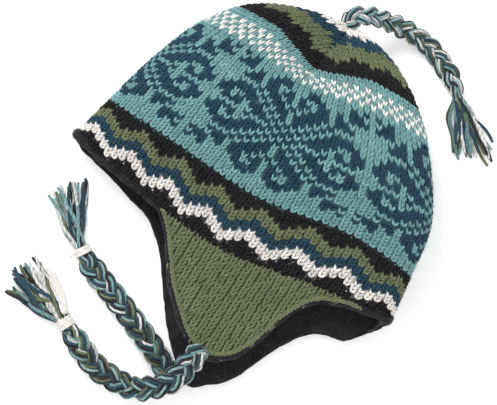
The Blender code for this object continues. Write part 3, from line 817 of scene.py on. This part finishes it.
def tasselled(name, line, tips, anchor, mixture, neck, loose):
    """Cut yarn ends that come out of a braid through its tie and fan out to the tips on the table."""
    end, way, side, over = end_frame(line)
    paths, radii, tints = [], [], []
    tips = anchor[:2] + np.array(tips) * MM
    share = np.linspace(0, 1, TASSEL_POINTS)
    slim = np.interp(share, (0, 0.3, 0.92, 1), (0.9, 1.06, 1.02, 0.80))
    for k, yarn in enumerate(mixture.split()):
        turn = FULL * k * GOLDEN
        spot = THROAT * math.sqrt((k * (1 - GOLDEN) % 1) * 0.9 + 0.1)
        inner = side * math.cos(turn) * spot * 1.1 + over * math.sin(turn) * spot
        layer = (k // len(tips)) % 3
        tip = np.append(tips[k % len(tips)] + TIP_SPREAD * dice.standard_normal(3)[:2], 0.0013 + 0.0019 * layer)
        throat = end + way * neck * 0.5 + inner * 0.85
        out = end + way * neck * 1.2 + inner * 1.2 * loose
        swell = (side * np.dot(inner, side) * 1.3 + over * np.dot(inner, over) * 0.9) * loose
        first = out + (tip - out) * 0.3 + swell + side * dice.normal(0, 0.0007)
        second = out + (tip - out) * 0.66 + swell * 0.5 + side * dice.normal(0, 0.0011)
        first[2] = 0.55 * (throat[2] + inner[2]) + 0.45 * tip[2] + 0.0008 * layer
        second[2] = max(0.0013, tip[2] + 0.0010)
        path = smooth_between([end - way * 0.004 + inner * 0.9, throat, out, first, second, tip], TASSEL_POINTS)
        wander = share ** 1.4 * np.sin((9 + 3 * (k % 3)) * share + k) * 0.0007 * loose
        paths.append(kept_above(path + side * wander[:, None], 0.0009))
        radii.append(TASSEL_YARN * slim)
        tints.append(varied(yarn))
    return mixed_piece(name + "_ends", paths, radii, tints, name)


TIE_RADIUS = 0.0049


def tied(name, line, turns, length, tails):
    """White yarn wound tightly round a braid's end, with its loose tails, in millimetres."""
    end, way, side, over = end_frame(line)
    t = np.linspace(0, 1, 26 * turns)
    turn = FULL * turns * t
    spread = TIE_RADIUS * (1 + 0.05 * np.sin(turn * 0.37))
    wound = end + way * (0.0004 + length * t)[:, None] + side * (spread * 1.1 * np.cos(turn))[:, None]
    wound = wound + over * (spread * 0.92 * np.sin(turn))[:, None]
    paths, radii = [wound], [0.00082]
    for tail in tails:
        paths.append(smooth_between([wound[-1]] + [np.array(p) * MM for p in tail], 24))
        radii.append(np.linspace(0.0009, 0.0007, 24))
    piece = plain_tubes(name + "_wrap", paths, radii, 7, "white")
    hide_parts(name)
    return piece


near_plait, near_line, near_low = braided(
    "near_flap_braid_plait", NEAR_PATH, near_tip, 0.0158, 0.0125, (0.006, 0.009), 0.0006, 0.4, NEAR_STRANDS)
far_plait, far_line, far_low = braided(
    "far_flap_braid_plait", FAR_PATH, far_tip, 0.0155, 0.0125, (0.006, 0.009), 0.0006, 1.9, FAR_STRANDS)
crown_plait, crown_line, crown_low = braided(
    "crown_braid_plait", CROWN_PATH, apex, 0.0132, 0.0108, (0.003, 0.012), 0.0003, 2.6, CROWN_STRANDS)
near_ends = tasselled("near_flap_tassel", near_low, NEAR_TIPS, near_tip, NEAR_MIXTURE, 0.0052, 1.3)
far_ends = tasselled("far_flap_tassel", far_low, FAR_TIPS, far_tip, FAR_MIXTURE, 0.0052, 0.9)
crown_ends = tasselled("crown_tassel", crown_low, CROWN_TIPS, apex, CROWN_MIXTURE, 0.002, 0.75)

# The white lock beside the near tassel: how far along it and how high each yarn is, and how far each bends aside.
LOCK_ALONG = (10, 17, 26, 36, 46)
LOCK_HEIGHTS = (11.2, 10.4, 7.4, 4.4, 1.3)
LOCK_BENDS = ((5, 7.5, 8.8, 9.4, 8), (4, 6.2, 7.2, 7.4, 5.6), (5.6, 8.8, 10.4, 11.4, 11),
              (3, 4.6, 5.6, 5.2, 2.6), (5.4, 9.4, 12, 13, 13.6))
FAR_TAIL = [(-80, -95, 5.2), (-81.5, -97.5, 2.2), (-82, -99.4, 1.2)]

end, way, side, _ = end_frame(near_low)
near_lock = []
for k, bends in enumerate(LOCK_BENDS):
    shorter, lower = (0, 0, 0, 0, 2.2 * k), (0, 0.3 * k, 0, 0, 0)
    tail = end / MM + way * np.subtract(LOCK_ALONG, shorter)[:, None] + side * np.array(bends)[:, None]
    tail[:, 2] += np.subtract(LOCK_HEIGHTS, lower) - end[2] / MM
    near_lock.append(list(tail))
near_wrap = tied("near_flap_tie", near_low, 8, 0.0074, near_lock)
far_wrap = tied("far_flap_tie", far_low, 5, 0.0046, [FAR_TAIL])

for plait, line, width, pieces in (
    (near_plait, near_line, 0.0135, [near_wrap, near_ends]),
    (far_plait, far_line, 0.0135, [far_wrap, far_ends]),
    (crown_plait, crown_line, 0.0115, [crown_ends]),
):
    tuple(line[0])
    path_length(line)
    [tuple(p) for p in line[::3]]
    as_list(pieces)


# The crown's stitches

near_v = stitch_shape(6, 5)
far_v = stitch_shape(5, 4)
places = {}
for row, quarter, step in product(range(ROW_KNOTS[-1]), range(4), range(-HALF, HALF + 1)):
    share = float(wale_share(row, quarter))
    inside = step < HALF if row < DART_ROW else abs(step) * share <= 0.5 - 0.25 * share
    if inside:
        kind = (yarn_at(whole_wale(quarter, step), row), quarter < 2)
        places.setdefault(kind, []).append((quarter, float(step), float(row)))

# Loops that show in the black under a change of yarn, and the share of stitches that have one.
FLECKS_UNDER = {"white": 0.6, "teal": 0.75}
fleck_v = stitch_shape(5, 4, FLECK, 1)
flecks = {yarn: [] for yarn in FLECKS_UNDER}
for row, quarter, step in product(range(2, 17), range(4), range(-HALF, HALF)):
    wale = whole_wale(quarter, step)
    yarn = yarn_at(wale, row)
    if yarn in FLECKS_UNDER and yarn_at(wale, row - 1) == "black" and dice.random() < FLECKS_UNDER[yarn]:
        flecks[yarn].append((quarter, step - dice.integers(0, 2) + 0.06 * dice.standard_normal(),
                             row - 0.75 + 0.12 * dice.standard_normal()))
for yarn, spots in flecks.items():
    laid_stitches(yarn + "_flecks", fleck_v, spots, on_crown, yarn, 0.08)

for (yarn, upper), spots in sorted(places.items()):
    name = yarn + ("_stitches_above" if upper else "_stitches_below")
    laid_stitches(name, near_v if upper else far_v, spots, on_crown, yarn, 0.16 if yarn == "black" else 0.08)

# Fine fibres that stand off the knit, each a thin closed sliver in its yarn's colour made brighter, a painted
# highlight.
HAIRS = 5200
HAIR_RADIUS = 0.00006
HAIR_SIDES = 3
HAIR_TAPER = np.array((1, 1, 0.5))
# How much brighter the fibres are than their yarn: a painted highlight.
HAIR_PAINTED_HIGHLIGHT = 1.25

quarter = dice.integers(0, 4, HAIRS)
row = dice.uniform(0, 57, HAIRS)
step = dice.uniform(-HALF, HALF, HAIRS) * np.interp(row, (0, 45, 60), (1, 1, 0.2))
foot = on_crown(quarter, step, row, np.full(HAIRS, 0))
knee = on_crown(quarter, step + dice.normal(0, 0.22, HAIRS), row + dice.normal(0, 0.3, HAIRS),
                dice.uniform(0.0006, 0.0013, HAIRS))
tip = on_crown(quarter, step + dice.normal(0, 0.45, HAIRS), row + dice.normal(0, 0.6, HAIRS),
               dice.uniform(0.0003, 0.0020, HAIRS))
line = np.stack([foot, knee, tip], axis=1)
side = unit(np.cross(tip - foot, (0.3, 0.2, 0.93)))
over = np.cross(side, unit(tip - foot))
turns = [FULL * k / HAIR_SIDES for k in range(HAIR_SIDES)]
around = np.stack([side * math.cos(turn) + over * math.sin(turn) for turn in turns], axis=1)
points = kept_above(line[:, :, None] + HAIR_RADIUS * around[:, None] * HAIR_TAPER[:, None, None], 0.0001)
size = 3 * HAIR_SIDES
faces = [face for k in range(HAIRS) for face in tube_faces(3, HAIR_SIDES, size * k)]
tints = [COLOURS[yarn_at(whole_wale(q, round(float(w))), round(float(r)))] * HAIR_PAINTED_HIGHLIGHT
         for q, w, r in zip(quarter, step, row)]
piece = mesh_piece("loose_fibres", points.reshape(-1, 3), faces, mixed_finish,
                   np.zeros((size * HAIRS, 2)), np.repeat(tints, size, axis=0))


# How deep the strands behind the stitches lie, from and to, on the crown and on the flaps.
CROWN_GROUND = (0.0014, 0.0034)
FLAP_GROUND = (0.0019, 0.0034)


def crown_tint(turn, row):
    quarter = int(turn // 1) % 4
    step = round((turn - quarter - 0.5) / float(wale_share(row, quarter)))
    return YARNS[yarn_at(whole_wale(quarter, step), int(round(min(max(row, 0), 63))))][0]


def knit_ground(name, layers, tints, round_, node):
    """The strands behind the stitches, as a thin wall from its outer and inner rows of points."""
    points = kept_above(np.stack(layers), 0.0002)
    rows, columns = points.shape[1:3]
    wall = mesh_piece(name, points.reshape(-1, 3), wall_faces(rows, columns, round_), ground, None, tints)
    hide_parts(node)


wall_turns = np.arange(4 * QUARTER_CELLS) / QUARTER_CELLS
wall_rows = np.append(np.arange(-0.5, LAST_ROW, 1), LAST_ROW)
turn_grid, row_grid = np.meshgrid(wall_turns, wall_rows)
tints = [crown_tint(turn, row) for row in wall_rows for turn in wall_turns]
knit_ground("crown_knit_ground", [crown_at(turn_grid, row_grid, np.full_like(row_grid, -depth))
                                  for depth in CROWN_GROUND], tints * 2, True, "crown_knit")

# The ear flaps. Their wales run straight down from the rim.

FLAP_WALE = 0.0056
FLAP_PITCH = 0.0033
FLAP_ROWS = 26
ROW_START = 0.45
LEAST_DEPTH = 0.0016
STITCH_GAP = 0.0004
GROUND_GAP = 0.0006
GROUND_STEPS = 14
FLAP_CELL = 0.0012
DROP_STEP = 0.0011
DROPS = np.arange(-2, 70) * DROP_STEP


def flap_edge(edge, far):
    """The angle and depth below the rim of points along a flap's edge."""
    grid = np.linspace(0, math.pi, 4001)
    angle = np.interp(edge[:, 0], 100 * across_share(grid, RINGS[0, 6]), grid)
    angle = FULL - angle if far else angle
    depth = surface(angle, 0)[:, 1] - (RIM_START[1] + CROWN_RISE * edge[:, 1] / 100)
    order = np.argsort(angle)
    return angle[order], np.maximum(depth[order], LEAST_DEPTH)


class Flap:
    """One ear flap, with its wales counted from its first edge."""

    def __init__(self, edge, far):
        angle, depth = flap_edge(edge, far)
        fine = np.linspace(angle[0], angle[-1], 900)
        run = lengths(surface(fine, 0))
        self.length = run[-1]
        self.columns = int(self.length / FLAP_CELL) + 1
        angles = np.interp(np.linspace(0, self.length, self.columns), run, fine)
        self.depth = cubic(angles, angle, depth)
        self.cloth = Cloth(angles, -DROPS[:, None] / RIM_WIDTH, False)

    def depth_at(self, along):
        return np.interp(along, np.linspace(0, self.length, self.columns), self.depth)

    def at(self, along, down, height):
        column = along / self.length * (self.columns - 1)
        return self.cloth.at(column, (down - DROPS[0]) / DROP_STEP, height)

    def put(self, group, wale, row, height):
        return self.at((wale + 0.5) * FLAP_WALE, -row * FLAP_PITCH, height)

    def places(self):
        return [(0, float(wale), -(row + ROW_START))
                for wale, row in product(range(int(self.length / FLAP_WALE)), range(FLAP_ROWS))
                if (row + ROW_START) * FLAP_PITCH < self.depth_at((wale + 0.5) * FLAP_WALE) - STITCH_GAP]

    def layer(self, depth_under):
        along = np.linspace(0, self.length, 110)
        deep = self.depth_at(along) - GROUND_GAP - STITCH_GAP
        return [self.at(along, STITCH_GAP + deep * k / GROUND_STEPS, np.full(len(along), -depth_under))
                for k in range(GROUND_STEPS, -1, -1)]

    def edge_line(self, inset, height):
        along = np.linspace(0, self.length, 400)
        line = self.at(along, np.maximum(self.depth_at(along) - inset, 0), np.full(len(along), height))
        return evenly(line, int(path_length(line) / EDGE_STEP))


# The two-ply selvedge along a flap's edge.
EDGE_STEP = 0.0012
EDGE_TWIST = 0.0062
EDGE_INSET = 0.0030
EDGE_HEIGHT = -0.0003
EDGE_PLY, EDGE_PLY_OFF = 0.0011, 0.0007

for label, edge, far in (("near", NEAR_FLAP, False), ("far", FAR_FLAP, True)):
    flap = Flap(edge, far)
    layers = [flap.layer(depth_under) for depth_under in FLAP_GROUND]
    tints = np.tile(YARNS["olive"][0], (2 * len(layers[0]) * len(layers[0][0]), 1))
    knit_ground(label + "_flap_ground", layers, tints, False, label + "_ear_flap")
    laid_stitches(label + "_flap_stitches", far_v if far else near_v, flap.places(), flap.put, "olive", 0.07)
    border = flap.edge_line(EDGE_INSET, EDGE_HEIGHT)
    wind = FULL * np.arange(len(border)) * EDGE_STEP / EDGE_TWIST
    _, side, over = frames(border)
    strands = [border + (side * np.cos(wind + s)[:, None] + over * np.sin(wind + s)[:, None]) * EDGE_PLY_OFF
               for s in (0, math.pi)]
    plain_tubes(label + "_flap_selvedge", strands, [EDGE_PLY] * 2, 6, "olive")

# The fleece lining, at these depths under the knit's face, and its rolled edge, which comes round the knit's end.

LINING_OUTER = 0.00385
LINING_INNER = 0.0064
PEEK = 0.0028
FADE = 0.12
WELD = 0.00004
ROLL_ON_RIM = 0.0036
ROLL_ON_FLAP = 0.0018
ROLL_STEP = 0.0016
ROLL_SIDES = 12
ROLL_FLATNESS = 0.62
FINE_LUMPS, FINE_LUMP_SIZE = 420, 0.0004


def fleecy(name, points, faces, lump_scale, lump_size, weld):
    """A lumpy piece of fleece, closed and facing outwards."""
    piece = mesh_piece(name, points.reshape(-1, 3), faces, fleece)
    shape = bmesh.new()
    shape.from_mesh(piece.data)
    if weld:
        bmesh.ops.remove_doubles(shape, verts=shape.verts, dist=weld)
    bmesh.ops.recalc_face_normals(shape, faces=shape.faces)
    shape.normal_update()
    for vert in shape.verts:
        lump = noise.noise(vert.co * lump_scale) * lump_size + noise.noise(vert.co * FINE_LUMPS) * FINE_LUMP_SIZE
        vert.co += vert.normal * lump
        vert.co.z = max(vert.co.z, 0.0002)
    shape.to_mesh(piece.data)
    shape.free()
    for polygon in piece.data.polygons:
        polygon.use_smooth = True
    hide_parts("fleece_lining")


near_angle, near_depth = flap_edge(NEAR_FLAP, False)
far_angle, far_depth = flap_edge(FAR_FLAP, True)
angles = np.concatenate([np.linspace(low, high, count) for low, high, count in (
    (0, near_angle[0] - 0.004, 34), (near_angle[0], near_angle[-1], 96), (near_angle[-1] + 0.004, math.pi, 14),
    (math.pi + 0.02, far_angle[0] - 0.004, 14), (far_angle[0], far_angle[-1], 96),
    (far_angle[-1] + 0.004, FULL - 0.02, 30),
)])
depth = np.zeros(len(angles))
for found, deep in ((near_angle, near_depth), (far_angle, far_depth)):
    inside = (angles >= found[0]) & (angles <= found[-1])
    depth[inside] = cubic(angles[inside], found, deep)
    before = (angles < found[0]) & (angles > found[0] - FADE)
    after = (angles > found[-1]) & (angles < found[-1] + FADE)
    depth[before] = deep[0] * (1 - (found[0] - angles[before]) / FADE)
    depth[after] = deep[-1] * (1 - (angles[after] - found[-1]) / FADE)

edge_level = -depth / RIM_WIDTH
edge, edge_normal = surface(angles, edge_level), outward(angles, edge_level)
run = np.roll(edge, -1, axis=0) - np.roll(edge, 1, axis=0)
upper = np.where(np.sin(angles) >= 0, 1, -1)
ways = unit(np.stack([run[:, 1] * upper, -run[:, 0] * upper, np.zeros(len(run))], axis=1))
ways[depth <= 0] = (0, -1, 0)
for _ in range(4):
    ways = 0.5 * ways + 0.25 * (np.roll(ways, 1, axis=0) + np.roll(ways, -1, axis=0))
ways = unit(ways)

levels = [*np.linspace(0.985, 0.03, 34)] + [edge_level * k / 22 for k in range(23)]
outer, inner = ([surface(angles, level) - under * outward(angles, level) for level in levels]
                for under in (LINING_OUTER, LINING_INNER))
turned = []
for turn in np.radians((-70, -35, 0, 35, 70)):
    deep = (LINING_OUTER + LINING_INNER) / 2 + ((LINING_INNER - LINING_OUTER) / 2 + 0.0004) * math.sin(turn)
    turned.append(edge - deep * edge_normal + ways * PEEK * (0.45 + 0.55 * math.cos(turn)))
points = np.stack(outer + turned + inner[::-1])
fleecy("fleece_pile", points, [face[::-1] for face in tube_faces(*points.shape[:2])], 110, 0.0007, WELD)

run = lengths(np.concatenate([edge, edge[:1]]))
plain = np.clip(1 - depth / 0.006, 0, 1)
evened = np.concatenate([edge, edge_normal, ways, plain[:, None]], axis=1)
evened = np.concatenate([evened, evened[:1]])
even = np.arange(0, run[-1], ROLL_STEP)
evened = np.stack([np.interp(even, run, column) for column in evened.T], axis=1)[:, None]
middle, up, way, plain = evened[..., :3], evened[..., 3:6], evened[..., 6:9], evened[..., 9:]
wide = ROLL_ON_FLAP + (ROLL_ON_RIM - ROLL_ON_FLAP) * plain
turn = (FULL * np.arange(ROLL_SIDES) / ROLL_SIDES)[:, None]
points = middle + way * (0.0008 - 0.75 * wide + wide * np.cos(turn))
points = points + up * (ROLL_FLATNESS * wide * np.sin(turn) - 0.0008)
fleecy("fleece_roll", kept_above(points, 0.0002), tube_faces(*points.shape[:2], 0, True), 120, 0.0014, 0)

# Table and light

bpy.ops.object.select_all(action="DESELECT")
bpy.ops.mesh.primitive_plane_add(size=6, location=(0, 0, 0))
table = bpy.context.object
table.name = "pale_table"
paper = Finish("pale_paper")
speck = paper.grain(40, 3)
table.data.materials.append(paper.set(
    base_color=paper.blend(speck, (0.90, 0.90, 0.90), (0.93, 0.93, 0.93)), roughness=0.85, specular_ior_level=0.2,
    emission_color=(1, 1, 1, 1), emission_strength=0.30))


def softbox(name, at, size, power):
    bpy.ops.object.select_all(action="DESELECT")
    bpy.ops.object.light_add(type="AREA", location=at)
    light = bpy.context.object
    light.name = name
    light.data.shape = "DISK"
    light.data.size = size
    light.data.energy = power
    light.rotation_euler = (Vector((0, 0, 0.02)) - Vector(at)).to_track_quat("-Z", "Y").to_euler()


softbox("key_softbox", (-1.1, 0.75, 1.5), 0.8, 25)
softbox("fill_softbox", (1.3, -0.4, 1.4), 1.4, 6)
world = bpy.data.worlds.new("studio_air")
bpy.context.scene.world = world
world.use_nodes = True
air = world.node_tree.nodes["Background"].inputs
air["Color"].default_value = (1, 1, 1, 1)
air["Strength"].default_value = 0.80
view = bpy.context.scene.view_settings
view.view_transform = "Standard"
view.look = "None"
